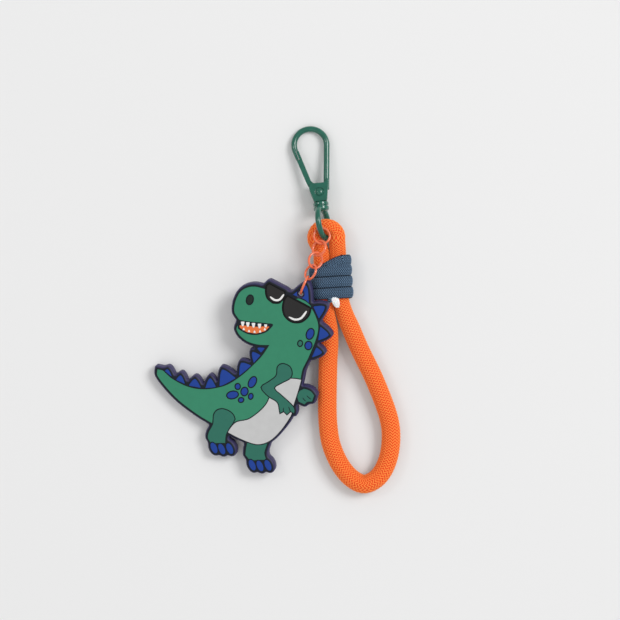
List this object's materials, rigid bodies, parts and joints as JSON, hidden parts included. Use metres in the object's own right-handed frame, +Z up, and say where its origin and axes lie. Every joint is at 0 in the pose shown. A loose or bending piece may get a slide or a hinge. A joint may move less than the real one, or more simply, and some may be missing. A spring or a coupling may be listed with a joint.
{
  "type": "charm keyring with strap",
  "caption": "Keyring with a swivel snap hook, a braided rope strap bound with cord, and a flat cartoon dinosaur charm hung on small rings.",
  "frame": {"origin": "centre of the bounding box in X and Y, on the surface the object lies on (z = 0)", "axes": "+Z up from the surface the object lies on, +Y towards the snap hook, +X towards the side the strap lies on"},
  "size_m": [0.0978, 0.1462, 0.0166],
  "materials": {
    "green_paint": "glossy enamel",
    "spring_steel": "plain",
    "orange_paint": "satin paint",
    "orange_braid": "braided rope",
    "navy_braid": "braided cord",
    "white_core": "fibre core",
    "pvc_navy": "soft satin PVC",
    "pvc_green": "soft satin PVC",
    "pvc_limb_green": "soft satin PVC",
    "pvc_blue": "soft satin PVC",
    "pvc_grey": "soft satin PVC",
    "pvc_black": "soft satin PVC",
    "pvc_lens": "soft satin PVC",
    "pvc_white": "soft satin PVC",
    "pvc_gum": "soft satin PVC"
  },
  "bodies": {
    "hook": {"hook_body": "green_paint", "gate_pin": "green_paint", "gate_spring": "spring_steel"},
    "gate": {"gate": "green_paint"},
    "eye": {"swivel_eye": "green_paint"},
    "strap": {"rope_sheath": "orange_braid", "rope_core": "white_core", "whipping_sheath": "navy_braid", "whipping_core": "white_core"},
    "ring_1": {"ring_1": "orange_paint"},
    "ring_2": {"ring_2": "orange_paint"},
    "ring_3": {"ring_3": "orange_paint"},
    "ring_4": {"ring_4": "orange_paint"},
    "ring_5": {"ring_5": "orange_paint"},
    "charm": {"back_spike_1": "pvc_blue", "back_spike_2": "pvc_blue", "back_spike_3": "pvc_blue", "back_spike_4": "pvc_blue", "back_spike_5": "pvc_blue", "back_spike_6": "pvc_blue", "back_spike_7": "pvc_blue", "back_spike_8": "pvc_blue", "back_spot_1": "pvc_blue", "back_spot_2": "pvc_blue", "back_spot_3": "pvc_blue", "back_spot_4": "pvc_blue", "back_spot_5": "pvc_blue", "back_spot_6": "pvc_blue", "belly_lower": "pvc_grey", "belly_upper": "pvc_grey", "body_fill": "pvc_green", "charm_base": "pvc_navy", "far_claw_1": "pvc_blue", "far_claw_2": "pvc_blue", "far_claw_3": "pvc_blue", "far_hand": "pvc_limb_green", "far_leg": "pvc_limb_green", "glasses_frame": "pvc_black", "glint_left": "pvc_white", "glint_right": "pvc_white", "gum": "pvc_gum", "head_spike": "pvc_blue", "lens_left": "pvc_lens", "lens_right": "pvc_lens", "near_arm": "pvc_limb_green", "near_claw_1": "pvc_blue", "near_claw_2": "pvc_blue", "near_claw_3": "pvc_blue", "near_leg": "pvc_limb_green", "neck_spike_1": "pvc_blue", "neck_spike_2": "pvc_blue", "neck_spike_3": "pvc_blue", "neck_spot_1": "pvc_blue", "neck_spot_2": "pvc_blue", "neck_spot_3": "pvc_limb_green", "nostril": "pvc_black", "upper_teeth": "pvc_white"}
  },
  "joints": [
    {"name": "gate_hinge", "type": "hinge", "parent": "hook", "child": "gate", "pos_m": [0.01678, 0.04635, 0.00507], "axis": [0.0185, -0.1484, -0.9888], "range_deg": [0, 28], "stiffness_Nm_per_rad": 0.005},
    {"name": "swivel", "type": "hinge", "parent": "hook", "child": "eye", "pos_m": [0.01723, 0.04272, 0.00562], "axis": [-0.1222, 0.9812, -0.1495], "continuous": true},
    {"name": "strap_tilt", "type": "hinge", "parent": "eye", "child": "strap", "pos_m": [0.01826, 0.03448, 0.00688], "axis": [0.9381, 0.1634, 0.3055], "range_deg": [0, 60]},
    {"name": "ring_1_swing", "type": "hinge", "parent": "eye", "child": "ring_1", "pos_m": [0.01803, 0.02962, 0.01088], "axis": [0, 0, -1], "range_deg": [0, 60]},
    {"name": "ring_2_lift", "type": "hinge", "parent": "ring_1", "child": "ring_2", "pos_m": [0.0171, 0.02604, 0.01152], "axis": [-0.9781, 0.2079, 0], "range_deg": [0, 20]},
    {"name": "ring_3_lift", "type": "hinge", "parent": "ring_2", "child": "ring_3", "pos_m": [0.01589, 0.02121, 0.01249], "axis": [-0.773, 0.0663, -0.631], "range_deg": [0, 20]},
    {"name": "ring_4_lift", "type": "hinge", "parent": "ring_3", "child": "ring_4", "pos_m": [0.01416, 0.01645, 0.01293], "axis": [-0.7811, 0.3334, 0.5279], "range_deg": [0, 20]},
    {"name": "ring_5_lift", "type": "hinge", "parent": "ring_4", "child": "ring_5", "pos_m": [0.01186, 0.01192, 0.01284], "axis": [-0.5173, 0.2794, -0.8089], "range_deg": [0, 20]},
    {"name": "charm_swing", "type": "hinge", "parent": "ring_5", "child": "charm", "pos_m": [0.00964, 0.00636, 0.0101], "axis": [0.1097, 0.0857, -0.9903], "range_deg": [0, 60]}
  ]
}
